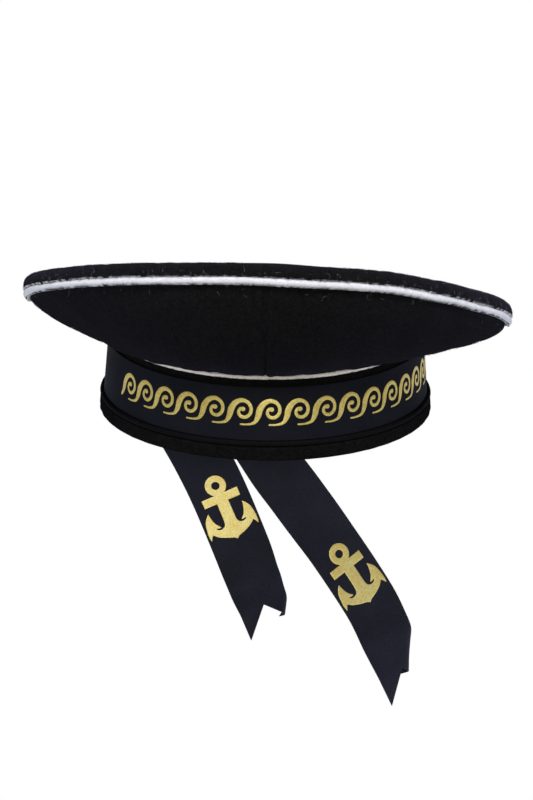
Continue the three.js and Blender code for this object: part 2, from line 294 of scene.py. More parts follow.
def mottled(tree, look, first, second, share):
    # two noises by size in millimetres, detail and roughness, and the colour from dark to light
    # that a share of the first added to the second gives, stretched about its middle
    place = addNode(tree, "ShaderNodeTexCoord").outputs["Object"]
    noises = []
    for size, detail, roughness in (first, second):
        noise = addNode(tree, "ShaderNodeTexNoise", {
            "Vector": place, "Scale": 1000 / size, "Detail": detail, "Roughness": roughness,
        })
        noises.append(noise.outputs["Fac"])
    mixed = addNode(
        tree, "ShaderNodeMath", {0: noises[0], 1: share, 2: noises[1]}, operation="MULTIPLY_ADD",
    )
    middle = 0.5 + 0.5 * share
    ramp = addNode(tree, "ShaderNodeMapRange", {
        "Value": mixed.outputs[0], "From Min": middle - look["range"], "From Max": middle + look["range"],
    })
    colour = addNode(tree, "ShaderNodeMix", {"Factor": ramp.outputs[0]}, data_type="RGBA")
    # the colour sockets of a Mix node follow its float and vector ones
    colour.inputs[6].default_value = toLinear(look["dark"])
    colour.inputs[7].default_value = toLinear(look["light"])
    return *noises, colour.outputs[2]


# the shader's inputs by the names that a look gives them
shaderInputs = {
    "roughness": "Roughness", "metallic": "Metallic", "specular": "Specular IOR Level",
    "sheen": "Sheen Weight", "sheenRoughness": "Sheen Roughness", "sheenTint": "Sheen Tint",
}


def surfaceShader(material, look, colour, height, depth):
    # the material's surface: the colour, a bump of that depth from the height, and the look's own inputs
    tree = material.node_tree
    bump = addNode(tree, "ShaderNodeBump", {"Height": height, "Strength": look["bump"], "Distance": depth})
    inputs = {"Base Color": colour, "Normal": bump.outputs["Normal"]}
    for key in shaderInputs.keys() & look.keys():
        inputs[shaderInputs[key]] = toLinear(look[key]) if key == "sheenTint" else look[key]
    shader = addNode(tree, "ShaderNodeBsdfPrincipled", inputs)
    output = tree.nodes.new("ShaderNodeOutputMaterial")
    tree.links.new(shader.outputs[0], output.inputs["Surface"])
    return material


# detail and roughness of the two noises, the bump's depth as a share of the grain, and what most cloth has
clothLook = {
    "mottleNoise": (3.0, 0.5), "grainNoise": (4.0, 0.7), "bumpDepth": 0.8, "roughness": 0.95, "specular": 0.0,
    "sheenRoughness": 0.45, "sheenTint": "#c9c6dc",
}


def clothMaterial(name, changes):
    # napped cloth: two sizes of mottling in its colour, and a fibrous bump from the finer one
    look = {**clothLook, **changes}
    material, tree = newMaterial(name)
    coarse = (look["mottle"], *look["mottleNoise"])
    _, grain, colour = mottled(tree, look, coarse, (look["grain"], *look["grainNoise"]), look["mottleShare"])
    return surfaceShader(material, look, colour, grain, look["grain"] / 1000 * look["bumpDepth"])


# Fulled woollen melton, dyed black: a felted nap with no weave showing, matt, bluish grey where the
# light grazes it. The real fibres are 0.02 mm thick, so the grain is drawn at 0.9 mm to show at this size.
blackWool = clothMaterial("fulledBlackWool", {
    "dark": "#0d0d0c", "light": "#1c1c1a", "grain": 0.9, "mottle": 3.0, "mottleShare": 0.25, "range": 0.14,
    "bump": 1.0, "sheen": 0.055, "sheenTint": "#bcbce8",
})
# The band's cloth: the same wool, pressed flat; its darker colour is painted shade, for the shade that the
# crown's overhang casts on the band and hem.
bandWool = clothMaterial("pressedShadedBlackWool", {
    "dark": "#0d0d0c", "light": "#171716", "grain": 1.0, "mottle": 4.0, "mottleShare": 0.35, "range": 0.13,
    "bump": 0.8, "sheen": 0.008,
})
pipingLook = {
    "grain": 0.9, "mottle": 5.0, "mottleShare": 0.4, "range": 0.25, "bump": 0.5, "specular": 0.2,
    "sheen": 0.1,
}
# White woollen cloth over a cord: felted, off-white, with grey pits between the fibres.
whiteWool = clothMaterial("whiteWoolPiping", {
    **pipingLook, "dark": "#cacbc8", "light": "#eff0eb", "sheenTint": "#ffffff",
})
# The same cloth on the band, undyed and a little yellower; it is also painted lighter than the rim's cloth,
# as painted light making up for the shade of the panel above it.
creamWool = clothMaterial("creamWoolPiping", {
    **pipingLook, "dark": "#ede3cc", "light": "#fffaf0", "sheenTint": "#fff6e0",
})
# Black cotton over a cord: smoother than the wool, with a faint grain.
blackCotton = clothMaterial("blackCottonPiping", {
    "dark": "#0a0a0a", "light": "#111111", "grain": 0.8, "mottle": 4.0, "mottleShare": 0.3, "range": 0.25,
    "bump": 0.35, "roughness": 0.9, "specular": 0.03, "sheen": 0.01,
})
# Loose wool fibres: the cloth's own black, and undyed lint.
fibreLook = {
    "grain": 2.0, "mottle": 9.0, "mottleShare": 0.4, "range": 0.25, "bump": 0.1, "roughness": 0.9,
    "specular": 0.15,
}
blackFibre = clothMaterial("blackWoolFibre", {
    **fibreLook, "dark": "#0d0d11", "light": "#25242c", "sheen": 0.01,
})
paleFibre = clothMaterial("paleLint", {
    **fibreLook, "dark": "#45434b", "light": "#a3a1ab", "sheen": 0.02, "sheenTint": "#ffffff",
})

laidUnit = 10  # millimetres in one unit of a ribbon's laid map
# slub and cloud are noises: size in millimetres, detail and roughness
ribbonLook = {
    "range": 0.3, "rib": 1.2, "ribDistortion": 1.2, "ribDetail": 2.0, "ribDetailScale": 3.0,
    "slub": (1.4, 3.0, 0.5), "slubShare": 0.7, "slubRidge": 0.6, "cloud": (22, 2.0, 0.5),
    "bumpDepth": 0.0002, "sheen": 0.005, "sheenRoughness": 0.4, "sheenTint": "#aab0d8",
}


def ribbonMaterial(name, changes):
    # woven ribbon: fine ribs across its length from the laid map, with slubs and faint cloudy shade
    look = {**ribbonLook, **changes}
    material, tree = newMaterial(name)
    slub, _, colour = mottled(tree, look, look["slub"], look["cloud"], look["slubShare"])
    # a band wave of scale one repeats every two pi twentieths of a unit
    ribs = addNode(tree, "ShaderNodeTexWave", {
        "Vector": addNode(tree, "ShaderNodeUVMap", uv_map="laid").outputs["UV"],
        "Scale": 2 * np.pi / 20 * laidUnit / look["rib"], "Distortion": look["ribDistortion"],
        "Detail": look["ribDetail"], "Detail Scale": look["ribDetailScale"],
    }, wave_type="BANDS", bands_direction="Y")
    ridge = addNode(
        tree, "ShaderNodeMath", {0: slub, 1: look["slubRidge"], 2: ribs.outputs["Fac"]},
        operation="MULTIPLY_ADD",
    )
    return surfaceShader(material, look, colour, ridge.outputs[0], look["bumpDepth"])


# Rayon ribbon, blue-black, woven with fine ribs across: a soft sheen that spreads along the ribs.
# The real ribs are 0.35 mm apart, drawn at 1.2 mm so that they show.
ribbonRayon = ribbonMaterial("blueBlackRayonRibbon", {
    "dark": "#16171b", "light": "#1c1d22", "bump": 0.2, "roughness": 0.7, "specular": 0.013,
})
# The ends of the same ribbon, a shade lighter: painted light, for the light that the tails catch below the
# cap, clear of the crown's shade.
tailRayon = ribbonMaterial("litBlueBlackRayonTails", {
    "dark": "#2a2b34", "light": "#33343f", "bump": 0.12, "roughness": 0.6, "specular": 0.03,
})

# grain and patch are noises: size in millimetres, detail and roughness
foilLook = {
    "range": 0.18, "grain": (0.9, 3.0, 0.5), "patch": (9, 2.0, 0.5), "patchShare": 0.4, "bump": 0.4,
    "bumpDepth": 0.0002,
}


def foilMaterial(name, changes):
    # metal foil pressed into cloth: bright, a little broken by the threads under it
    look = {**foilLook, **changes}
    material, tree = newMaterial(name)
    _, grain, colour = mottled(tree, look, look["patch"], look["grain"], look["patchShare"])
    return surfaceShader(material, look, colour, grain, look["bumpDepth"])


# Gold hot-stamping foil on ribbon: brassy gold with a satin grain; its paleness is partly the gold's own and
# partly painted light, for the glints that the anchors on the tails catch. The threads under it are 0.35 mm
# apart, and the grain is drawn at 0.9 mm so that it shows.
goldFoil = foilMaterial("goldStampingFoil", {
    "dark": "#f6d46c", "light": "#fff4a8", "metallic": 0.5, "roughness": 0.45,
})
# The same foil on the band, a little duller: painted shade, for the shade that the crown casts on the band.
bandFoil = foilMaterial("shadedGoldStampingFoil", {
    "dark": "#b09c4a", "light": "#d0c072", "metallic": 0.7, "roughness": 0.42,
})
print("materials made")

# Crown top
crownTop = {
    "turns": 512, "edgeSteps": 34, "topSteps": 12, "underSteps": 12, "edgeRows": 6, "seeds": (3, 4, 5),
    "swell": 0.35, "swellSize": 60, "swellEnds": (15, 60), "edgeRipple": 0.22, "edgeWaves": 70,
    "fineWaves": 190, "fineShare": 0.5, "rippleEnds": (-12, 0), "rippleRise": 0.6,
    "underHole": 6, "tuck": (-0.5, 2.5),
    # section from the tucked lower edge to the middle: distance out and rise from the rim piping's middle
    "section": [
        (1.1, 2.3), (1.95, 2.7), (2.3, 4.8), (1.7, 7.3), (0.1, 9.2), (-2.4, 10.1), (-7, 10.4),
        (-25, 10.6), (-60, 10.9), (-100, 11.1), (-crownForm["rimRadius"], 11.2),
    ],
}


def makeCrownTop():
    # a section carried round the rim: out over the top to one middle point, and back underneath it
    look = crownTop
    radius = crownForm["rimRadius"]
    last = len(look["section"]) - 1
    turn = allTurns(look["turns"])
    edgeSteps = np.linspace(0, look["edgeRows"], look["edgeSteps"])
    topSteps = np.linspace(look["edgeRows"], last, look["topSteps"] + 1)[1:-1]
    profile = splineRows(look["section"], np.concatenate([edgeSteps, topSteps]))
    ripple = roundWaves(turn, look["edgeWaves"], look["seeds"][0])
    ripple = ripple + look["fineShare"] * roundWaves(turn, look["fineWaves"], look["seeds"][1])
    ripple = look["edgeRipple"] * ripple * smoothstep(profile[:, 0], *look["rippleEnds"])
    out = radius + profile[:, 0] + ripple
    swell = look["swell"] * waves(out * np.sin(turn), out * np.cos(turn), look["swellSize"], look["seeds"][2])
    rise = profile[:, 1] + swell * smoothstep(-profile[:, 0], *look["swellEnds"])
    outer = atRim(turn, out, rise + look["rippleRise"] * ripple)
    # square to the section: its slope turned a quarter
    across = unit(np.gradient(profile, axis=0)[:, ::-1] * (1, -1)) * crownForm["wall"]
    under = (profile - across)[np.linspace(0, len(profile) - 1, look["underSteps"]).astype(int)]
    under[:, 0] = np.maximum(under[:, 0], look["underHole"] - radius)
    under[0] = look["tuck"]
    sunk = look["swell"] * smoothstep(-under[:, 0], *look["swellEnds"])
    inner = atRim(turn, radius + under[:, 0], under[:, 1] - sunk)
    crest = look["section"][-1][1]
    middle = atRim(np.zeros(1), np.zeros(1), crest + swell[:1, -1])
    lower = atRim(np.zeros(1), np.zeros(1), crest - crownForm["wall"] - look["swell"])
    loop = np.concatenate([outer[:, ::-1], inner], axis=1)
    rows, columns = loop.shape[:2]
    points = np.concatenate([loop.reshape(-1, 3), middle, lower])
    at = np.arange(rows)
    ahead = (at + 1) % rows
    fanTop = np.stack([at * columns, ahead * columns, np.full(rows, rows * columns)], -1)
    fanLow = np.stack([(ahead + 1) * columns - 1, (at + 1) * columns - 1, fanTop[:, 2] + 1], -1)
    quads = gridQuads(rows, columns, True, False)[:, ::-1]
    return makePiece("crownTop", points, quads, np.concatenate([fanTop, fanLow])[:, ::-1])


dress(makeCrownTop(), blackWool, "black_wool", "crown_top")
print("crown top made")

# Side panels
sidePanel = {
    "turns": 240, "rows": 30, "wall": 1.6, "foot": 48.8, "head": -1.88, "headInset": 1.8,
    "tuckHeight": 47.0, "tuckDepth": 1.8, "bunching": 0.55, "footFade": 0.15, "headFade": 0.1,
    "swell": 0.45, "swellSize": 34, "swellRound": 110, "swellUp": 60, "seeds": (11, 12),
    "pucker": 0.22, "puckers": 60, "puckerAt": 0.12, "puckerReach": 0.12,
    "seamInset": -0.04, "seamDepth": 1.0, "seamWidth": 0.8, "seamGrowth": 26,
    "besideRise": 0.35, "besideAt": 3.2, "besideWidth": 1.6,
    "inside": (0, 0, 70),  # a place within the cap
}


def onPanel(turn, part):
    # a cubic curve from the foot on the band, out and up by its flare and lift, to the head under the rim
    look = sidePanel
    foot = besideBand(turn, look["foot"], 0)
    outwards = besideBand(turn, look["foot"], 1) - foot
    footPull = foot + outwards * sagAt(turn, "flare")[..., None]
    footPull = footPull + stack(0, 0, sagAt(turn, "lift"))
    headRadius = crownForm["rimRadius"] - look["headInset"]
    headPull = atRim(turn, headRadius + sagAt(turn, "spread"), look["head"] - sagAt(turn, "drop"))
    head = atRim(turn, headRadius, look["head"])
    rest = 1 - part[..., None]
    share = part[..., None]
    return rest**3 * foot + 3 * rest**2 * share * footPull + 3 * rest * share**2 * headPull + share**3 * head


def panelGrid(fromTurn, turns, rows):
    # the panel's outer face with soft swells, puckers at its foot and the valley of each seam
    look = sidePanel
    inset = look["seamInset"] / bandForm["halfDepth"]
    # turns bunch towards both seams: half of one less the cosine
    even = np.linspace(0, 1, turns)
    bunched = (1 - look["bunching"]) * even + look["bunching"] * (1 - np.cos(np.pi * even)) / 2
    turn = fromTurn + inset + (np.pi - 2 * inset) * bunched
    turn, part = np.meshgrid(turn, np.linspace(0, 1, rows), indexing="ij")
    points = onPanel(turn, part)
    normal = surfaceNormals(points)
    ends = smoothstep(part, 0, look["footFade"]) * smoothstep(1 - part, 0, look["headFade"])
    swell = waves(turn * look["swellRound"], part * look["swellUp"], look["swellSize"], look["seeds"][0])
    pucker = look["pucker"] * roundWaves(turn, look["puckers"], look["seeds"][1])
    pucker = pucker * bell((part - look["puckerAt"]) / look["puckerReach"])
    seamReach = np.abs(np.sin(turn)) * (bandForm["halfDepth"] + look["seamGrowth"] * part)
    seam = look["seamDepth"] * bell(seamReach / look["seamWidth"])
    beside = look["besideRise"] * bell((seamReach - look["besideAt"]) / look["besideWidth"])
    # the outward normal points away from the place within
    outward = np.sign(np.einsum("ijk,ijk->ij", normal, points - np.array(look["inside"])).mean())
    normal = normal * outward
    points = points + normal * (look["swell"] * swell * ends + pucker + beside * ends - seam)[..., None]
    # a first row tucked in behind the band piping closes the foot
    tuck = besideBand(turn[:, :1], look["tuckHeight"], -look["tuckDepth"])
    return np.concatenate([tuck, points], axis=1), np.concatenate([normal[:, :1], normal], axis=1)


for name, node, fromTurn in (
    ("sidePanelLeft", "side_panel_left", -np.pi),
    ("sidePanelRight", "side_panel_right", 0.0),
):
    outer, normal = panelGrid(fromTurn, sidePanel["turns"], sidePanel["rows"])
    inner = outer - normal * sidePanel["wall"]
    dress(makeWall(name, outer, inner), blackWool, "black_wool", node)
print("side panels made")

# Pipings and band
rimPiping = {"radius": 2.3, "turns": 720, "sides": 16, "lump": 0.05, "seed": 21}
bandPiping = {"radius": 1.4, "turns": 480, "sides": 12, "lump": 0.05, "seed": 22, "height": 46.7, "out": 0.0}
lowerPiping = {"radius": 1.4, "turns": 480, "sides": 12, "lump": 0.03, "seed": 23, "height": 9.5, "out": 1.7}
cordLumps = {"count": 150, "twist": 3}


def cordCircle(look):
    # a cord's section at each turn: a circle with slight lumps round the cap
    turn = allTurns(look["turns"])
    angle = allTurns(look["sides"]).T
    lumps = roundWaves(turn, cordLumps["count"], look["seed"])
    lumps = lumps * np.sin(angle + turn * cordLumps["twist"]) ** 2
    thick = look["radius"] * (1 + look["lump"] * lumps)
    return turn, thick * np.cos(angle), thick * np.sin(angle)


turn, out, up = cordCircle(rimPiping)
rimCord = makeRing("rimPiping", atRim(turn, crownForm["rimRadius"] + out, up))
dress(rimCord, whiteWool, "white_cord", "rim_piping")
for name, look, material, slot, node in (
    ("bandPiping", bandPiping, creamWool, "white_cord", "band_piping"),
    ("lowerPiping", lowerPiping, blackCotton, "black_cord", "lower_piping"),
):
    turn, out, up = cordCircle(look)
    dress(makeRing(name, besideBand(turn, look["height"] + up, look["out"] + out)), material, slot, node)

band = {"turns": 256, "rounding": 0.7, "cornerSteps": 4, "rows": 8}
bandHem = {
    "turns": 320, "height": 7.8, "wall": 2.3, "rounding": 1.0, "cornerSteps": 5, "rows": 4,
    "ripple": 0.12, "ripples": 40, "rippleEnds": (1, 2), "seed": 24,
}


def roundedLoop(look, low, high, near, far):
    # a rectangle's outline with quarter circles at its corners, as distances out and heights
    rounding = look["rounding"]
    quarter = np.linspace(0, np.pi / 2, look["cornerSteps"])
    corners = [(far, low, -np.pi / 2), (far, high, 0), (near, high, np.pi / 2), (near, low, np.pi)]
    middle = np.array([(near + far) / 2, (low + high) / 2])
    arcs = []
    for out, height, start in corners:
        centre = np.array([out, height])
        centre = centre + rounding * np.sign(middle - centre)
        arc = np.stack([np.cos(start + quarter), np.sin(start + quarter)], -1) * rounding + centre
        arcs.append(arc)
    loop = []
    for index, arc in enumerate(arcs):
        following = arcs[(index + 1) % 4][0]
        between = np.linspace(0, 1, look["rows"] + 1)[1:-1, None]
        loop += [arc, arc[-1] + (following - arc[-1]) * between]
    return np.concatenate(loop)


loop = roundedLoop(band, 0, bandForm["height"], -bandForm["wall"], 0)
bandPoints = besideBand(allTurns(band["turns"]), loop[:, 1], loop[:, 0])
dress(makeRing("bandWall", bandPoints), bandWool, "black_wool", "band")

loop = roundedLoop(bandHem, 0, bandHem["height"], bandForm["gap"], bandForm["gap"] + bandHem["wall"])
turn = allTurns(bandHem["turns"])
ripple = bandHem["ripple"] * roundWaves(turn, bandHem["ripples"], bandHem["seed"])
ripple = ripple * smoothstep(loop[:, 0], *bandHem["rippleEnds"])
hemPoints = besideBand(turn, loop[:, 1], loop[:, 0] + ripple)
dress(makeRing("bandHem", hemPoints), bandWool, "black_wool", "band_hem")
print("band and pipings made")

# Ribbon round the band and its tails
ribbon = {
    "width": 30.0, "tailWidth": 33.5, "widening": 60, "low": 11.2, "near": 0.4, "wall": 0.6,
    "solidWall": 1.0, "turns": 320, "rows": 14, "selvedge": 0.1, "selvedgeWidth": 0.9,
    "foldDrop": 14, "hangDepth": 55, "hemStep": 2.8, "foldSteps": 9, "foldReach": 0.8, "foldLift": 0.3,
    "routeSteps": 1200,
}
# route of a tail's middle line: place along the back, height, distance behind the band, and twist;
# its +X corner is rolled back: start past the notch, radius, and the roll's angle from the tail's length;
# the cuts are how far the end's two points reach past the notch
tails = {
    "left": {
        "layer": 0, "foldSlope": -33, "near": 0.2, "steps": 220, "columns": 37,
        "route": np.array([
            (-77, 27, 0, 0), (-61.5, -20, 0, 0), (-37.2, -66, 2, 1), (-25.5, -91, 4, 5),
            (-13.2, -121, 4, 10), (-4.8, -143, 3, 24), (0.6, -156, 2, 34),
        ]),
        "rollStart": 12.7, "rollRadius": 5.0, "rollAngle": 56, "leftCut": 15.0, "rightCut": 18.5,
        "anchorDistance": 121.0,
    },
    "right": {
        "layer": 1, "foldSlope": 62, "near": 0.2, "steps": 240, "columns": 37,
        "route": np.array([
            (-42, 27, 0, 0), (-23, -22, 1.5, 0), (2.3, -66, 3.5, 2), (20, -91, 4, 12),
            (42, -122, 5, 25), (62.8, -154, 4, 25), (73.8, -176, 2, 26), (82.8, -195, 1, 34),
        ]),
        "rollStart": 2.2, "rollRadius": 4.6, "rollAngle": 60, "leftCut": 15.8, "rightCut": 16.5,
        "anchorDistance": 176.4,
    },
}


def turnAtBack(along):
    # the turn of a place measured along the band from the middle of its back, towards +X
    return np.pi - along / bandForm["halfWidth"]


def foldAt(tail, height):
    # place along the back where a tail's slanted fold crosses the ribbon at a height
    root = tail["route"][0]
    return root[0] + (height - root[1]) / np.tan(np.radians(tail["foldSlope"]))


def layRoute(tail):
    # the route as a finely stepped curve with its running length, and its table by the rows' chord lengths
    route = tail["route"]
    tail["fine"] = splineRows(route[:, :2], np.linspace(0, len(route) - 1, ribbon["routeSteps"]))
    tail["length"] = runningLength(tail["fine"])
    tail["heading"] = unit(np.gradient(tail["fine"], axis=0))
    tail["rows"] = np.column_stack([runningLength(route[:, :2]), route[:, 2:]])


def onTail(tail, distance, width, lift):
    # the flat strip with its corner rolled on a slanted cylinder, laid along its route, twisted,
    # and wrapped round the band above the hem
    distance, width, lift = np.broadcast_arrays(distance, width, lift)
    whole = tail["length"][-1]
    back, twist = (readTable(tail["rows"], distance, column) for column in (1, 2))
    twist = np.radians(twist)
    rollAngle = np.radians(tail["rollAngle"])
    lengthwise, crosswise = np.cos(rollAngle), np.sin(rollAngle)
    past = (distance - whole) * lengthwise + width * crosswise - tail["rollStart"]
    past = np.maximum(past, 0)
    bend = past / tail["rollRadius"]
    shift = tail["rollRadius"] * np.sin(bend) - past - lift * np.sin(bend)
    rolled = tail["rollRadius"] * (1 - np.cos(bend)) + lift * np.cos(bend)
    distance = distance + shift * lengthwise
    width = width + shift * crosswise
    at = np.clip(distance, 0, whole)
    heading = [np.interp(at, tail["length"], tail["heading"][:, side]) for side in range(2)]
    middle = [np.interp(at, tail["length"], tail["fine"][:, side]) for side in range(2)]
    across = width * np.cos(twist) - rolled * np.sin(twist)
    depth = width * np.sin(twist) + rolled * np.cos(twist)
    along = middle[0] + heading[0] * (distance - at) - heading[1] * across
    height = middle[1] + heading[1] * (distance - at) + heading[0] * across
    gap, wall = bandForm["gap"], ribbon["solidWall"]
    overHem = smoothstep(ribbon["low"] + ribbon["foldDrop"] - height, 0, ribbon["foldDrop"])
    out = gap + tail["layer"] * (wall + 2 * gap) + depth
    out = out + (gap + wall) * (1 - overHem) + (gap + ribbon["hemStep"]) * overHem
    wrapped = besideBand(turnAtBack(along), height, out)
    hung = stack(along, bandForm["halfDepth"] + bandForm["spread"] + out + back, height)
    share = smoothstep(-height, 0, ribbon["hangDepth"])[..., None]
    return wrapped + (hung - wrapped) * share


def makeRibbon():
    # a strip round the band from one slanted fold to the other, its edges bound by a slight selvedge
    look = ribbon
    height = np.linspace(look["low"], look["low"] + look["width"], look["rows"])[None, :]
    share = np.linspace(0, 1, look["turns"])[:, None]
    start = turnAtBack(foldAt(tails["left"], height)) - 2 * np.pi
    end = turnAtBack(foldAt(tails["right"], height))
    turn = start + (end - start) * share
    edge = np.minimum(height - look["low"], look["low"] + look["width"] - height)
    thick = look["wall"] + look["selvedge"] * bell(edge / look["selvedgeWidth"])
    outer = besideBand(turn, height, look["near"] + thick)
    inner = besideBand(turn, height, np.full_like(turn, look["near"]))
    laid = runningLength(outer)
    uv = stack(np.broadcast_to(height, laid.shape), laid) / laidUnit
    return makeWall("tallyRibbon", outer, inner, uv), laid[-1].mean()


def makeTail(name, tail):
    # rows along the tail, from the rolled fold at its slanted start to the swallowtail end
    across = np.linspace(-0.5, 0.5, tail["columns"])[None, :]
    heading = tail["heading"][0]
    slant = np.arctan2(heading[1], heading[0]) - np.radians(tail["foldSlope"])
    start = across * ribbon["width"] / np.tan(-slant)
    end = tail["length"][-1] + np.where(across < 0, tail["leftCut"], tail["rightCut"]) * np.abs(across) * 2
    share = np.linspace(0, 1, tail["steps"])[:, None]
    distance = start + (end - start) * share
    wall = ribbon["wall"]
    edge = (0.5 - np.abs(across)) * ribbon["tailWidth"]
    thick = wall + ribbon["selvedge"] * bell(edge / ribbon["selvedgeWidth"]) + 0 * distance
    # the fold rolls over from the ribbon below: half a turn from its face up to the tail
    depth = bandForm["gap"] + tail["layer"] * (ribbon["solidWall"] + 2 * bandForm["gap"]) + ribbon["foldLift"]
    roll = np.linspace(-np.pi / 2, np.pi / 2, ribbon["foldSteps"])[:-1, None]
    rollDistance = start - depth * ribbon["foldReach"] * np.cos(roll)
    rollLift = depth / 2 * (np.sin(roll) - 1) + 0 * across
    distance = np.concatenate([rollDistance, distance])
    # the tail comes out from under the pipings at its full width
    widened = smoothstep(distance, 0, ribbon["widening"])
    width = across * (ribbon["width"] + (ribbon["tailWidth"] - ribbon["width"]) * widened)
    lift = np.concatenate([rollLift, 0 * share + 0 * across]) + tail["near"]
    thick = np.concatenate([np.full_like(rollLift, wall), thick])
    outer = onTail(tail, distance, width, lift + thick)
    inner = onTail(tail, distance, width, lift)
    uv = stack(width, distance) / laidUnit
    return makeWall(name, outer, inner, uv)


for tail in tails.values():
    layRoute(tail)
tallyRibbon, ribbonLength = makeRibbon()
dress(tallyRibbon, ribbonRayon, "ribbon_satin", "tally_ribbon")
for side, name, node in (("left", "tailLeft", "tail_left"), ("right", "tailRight", "tail_right")):
    dress(makeTail(name, tails[side]), tailRayon, "ribbon_satin", node)
tailLengths = {side: round(tail["length"][-1]) for side, tail in tails.items()}
print("ribbon and tails made", round(ribbonLength), tailLengths)

# Gold foil: flat outlines drawn as distance fields and laid on the ribbon
foil = {"cell": 0.3, "thickness": 0.14, "bevel": 0.6, "edgeShare": 0.35, "leastSlope": 0.3, "mostMove": 0.8}


def segmentDistance(points, starts, ends, startWidths, endWidths):
    # least distance from each point to a chain of straight strokes whose half width changes along them
    step = ends - starts
    offset = points[:, None, :] - starts[None]
    share = np.clip((offset * step).sum(-1) / np.maximum((step * step).sum(-1), 1e-9), 0, 1)
    distance = np.linalg.norm(offset - share[..., None] * step, axis=-1)
    return (distance - (startWidths + (endWidths - startWidths) * share)).min(1)


def insideOutline(points, outline):
    # even-odd rule: how often a ray towards +x crosses the outline
    starts, ends = outline, np.roll(outline, -1, axis=0)
    above = (starts[None, :, 1] > points[:, None, 1]) != (ends[None, :, 1] > points[:, None, 1])
    rise = np.where(np.abs(ends[:, 1] - starts[:, 1]) < 1e-9, 1e-9, ends[:, 1] - starts[:, 1])
    crossing = starts[:, 0] + (points[:, None, 1] - starts[:, 1]) * (ends[:, 0] - starts[:, 0]) / rise
    return (above & (points[:, None, 0] < crossing)).sum(1) % 2 == 1


def makeFoil(name, field, first, second, lay):
    # the cells inside the outline, with the border's vertices moved onto it; a bevelled face over a flat back
    size = foil["cell"]
    kept = (field[1:, 1:] + field[:-1, 1:] + field[1:, :-1] + field[:-1, :-1]) < 0
    rows, columns = field.shape
    numbers = np.arange(rows * columns).reshape(rows, columns)
    around = np.zeros(field.shape, int)
    for cellRow, cellColumn in ((0, 0), (0, 1), (1, 0), (1, 1)):
        around[cellRow:rows - 1 + cellRow, cellColumn:columns - 1 + cellColumn] += kept
    border = (around > 0) & (around < 4)
    slopeFirst, slopeSecond = np.gradient(field, size)
    steep = np.maximum(np.hypot(slopeFirst, slopeSecond), foil["leastSlope"])
    limit = foil["mostMove"] * size
    move = np.where(border, np.clip(-field, -limit, limit), 0) / steep**2
    u, v = np.meshgrid(first, second, indexing="ij")
    u = u + move * slopeFirst
    v = v + move * slopeSecond
    raised = smoothstep(np.where(border, 0, -field), 0, foil["bevel"])
    lift = foil["thickness"] * (foil["edgeShare"] + (1 - foil["edgeShare"]) * raised)
    face = np.stack([numbers[:-1, :-1], numbers[:-1, 1:], numbers[1:, 1:], numbers[1:, :-1]], -1)
    padded = np.pad(kept, 1)
    sides = []
    for shiftRow, shiftColumn, edge in ((-1, 0, (0, 1)), (0, 1, (1, 2)), (1, 0, (2, 3)), (0, -1, (3, 0))):
        beyond = padded[1 + shiftRow:rows + shiftRow, 1 + shiftColumn:columns + shiftColumn]
        sides.append(face[kept & ~beyond][:, edge])
    sides = np.concatenate(sides)
    top = face[kept]
    used = np.unique(top)
    lookup = np.full(rows * columns, -1)
    lookup[used] = np.arange(len(used))
    u, v, lift = u.ravel()[used], v.ravel()[used], lift.ravel()[used]
    points = np.concatenate([lay(u, v, lift), lay(u, v, 0 * lift)])
    count = len(used)
    top = lookup[top]
    sides = lookup[sides]
    walls = np.stack([sides[:, 1], sides[:, 0], sides[:, 0] + count, sides[:, 1] + count], -1)
    return makePiece(name, points, np.concatenate([top, top[:, ::-1] + count, walls]))


# Half of a plain stocked anchor from its foot up, as distance across and distance below the ring's middle.
# Runs are smooth curves, and a run's last point is a corner.
anchor = {
    "ring": 5.95, "hole": 2.35, "wider": 1.04, "longer": 1.085, "curveSteps": 6,
    "across": (-16.2, 16.2), "below": (-7.4, 36.3),
    "runs": [
        [(0, 32.3), (1.5, 31.1), (4.2, 30.2), (7.4, 28.9), (10.2, 27.3), (12.2, 25.4)],
        [(12.2, 25.4), (13.2, 26.6), (14.3, 28.6)],
        [(14.3, 28.6), (14.7, 24.6), (13.9, 18.8), (12.6, 16.0), (10.4, 13.5)],
        [(10.4, 13.5), (9.7, 17.0), (8.5, 20.2), (6.1, 23.1)],
        [(6.1, 23.1), (7.7, 23.1), (9.3, 22.6)],
        [(9.3, 22.6), (8.3, 23.8), (6.7, 24.3), (4.9, 23.8), (3.7, 22.2), (3.4, 19.0)],
        [(3.4, 19.0), (3.35, 10.0)],
        [(3.35, 10.0), (10.8, 10.0)],
        [(10.8, 10.0), (10.8, 5.2)],
        [(10.8, 5.2), (2.2, 5.2), (0, 5.0)],
    ],
}


def anchorField(points):
    # signed distance to the anchor's outline, joined with its ring and less the ring's hole
    half = []
    for run in anchor["runs"]:
        places = np.linspace(0, len(run) - 1, anchor["curveSteps"] * len(run))
        half.append(splineRows(run, places)[:-1])
    half = np.concatenate(half)
    outline = np.concatenate([half, (half * (-1, 1))[::-1]])
    ends = np.roll(outline, -1, axis=0)
    flat = np.zeros(len(outline))
    distance = segmentDistance(points, outline, ends, flat, flat)
    body = np.where(insideOutline(points, outline), -distance, distance)
    fromMiddle = np.linalg.norm(points, axis=1)
    joined = np.minimum(body, fromMiddle - anchor["ring"])
    return np.maximum(joined, anchor["hole"] - fromMiddle)


def makeAnchor(name, tail):
    # the anchor laid along the tail's inner face, its ring towards the fold
    across = np.arange(*anchor["across"], foil["cell"])
    below = np.arange(*anchor["below"], foil["cell"])
    u, v = np.meshgrid(across, below, indexing="ij")
    drawn = np.stack([u / anchor["wider"], v / anchor["longer"]], -1)
    field = anchorField(drawn.reshape(-1, 2)).reshape(u.shape)

    def lay(first, second, lift):
        # onto the face that looks to the front: below zero lift
        return onTail(tail, tail["anchorDistance"] + second, first, tail["near"] - lift)

    return makeFoil(name, field, across, below, lay)


for side, name in (("left", "anchorLeft"), ("right", "anchorRight")):
    tail = tails[side]
    dress(makeAnchor(name, tail), goldFoil, "ribbon_satin")

